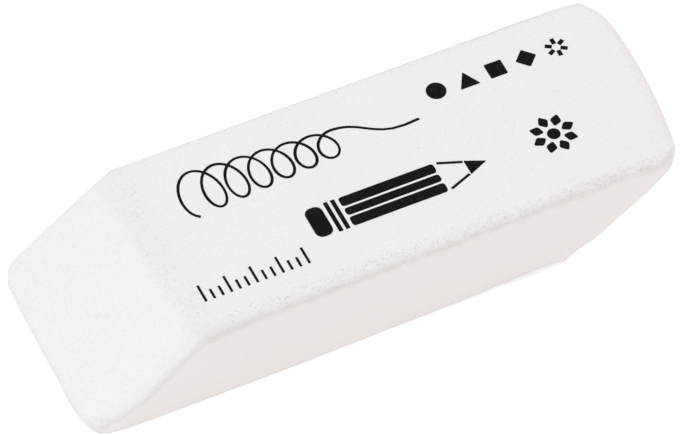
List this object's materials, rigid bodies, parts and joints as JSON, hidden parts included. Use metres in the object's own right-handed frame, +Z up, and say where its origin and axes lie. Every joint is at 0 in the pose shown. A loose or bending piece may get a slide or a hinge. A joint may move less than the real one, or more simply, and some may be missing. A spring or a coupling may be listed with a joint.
{
  "type": "block eraser",
  "caption": "White vinyl block eraser with slanted ends: thin noses for fine rubbing out and blunt shoulders for broad strokes.",
  "frame": {"origin": "middle of the block's box, on the plane of its broad base face", "axes": "+X along the block's length towards the end whose nose is at the top, +Y across its width, +Z up through its thickness"},
  "size_m": [0.06, 0.02, 0.011],
  "materials": {
    "vinyl": "matte, slightly powdery, faint fine grain",
    "print_ink": "thin black stamped ink on the top face only, matt, slightly uneven"
  },
  "bodies": {
    "root": {"eraser": "vinyl"}
  },
  "joints": []
}
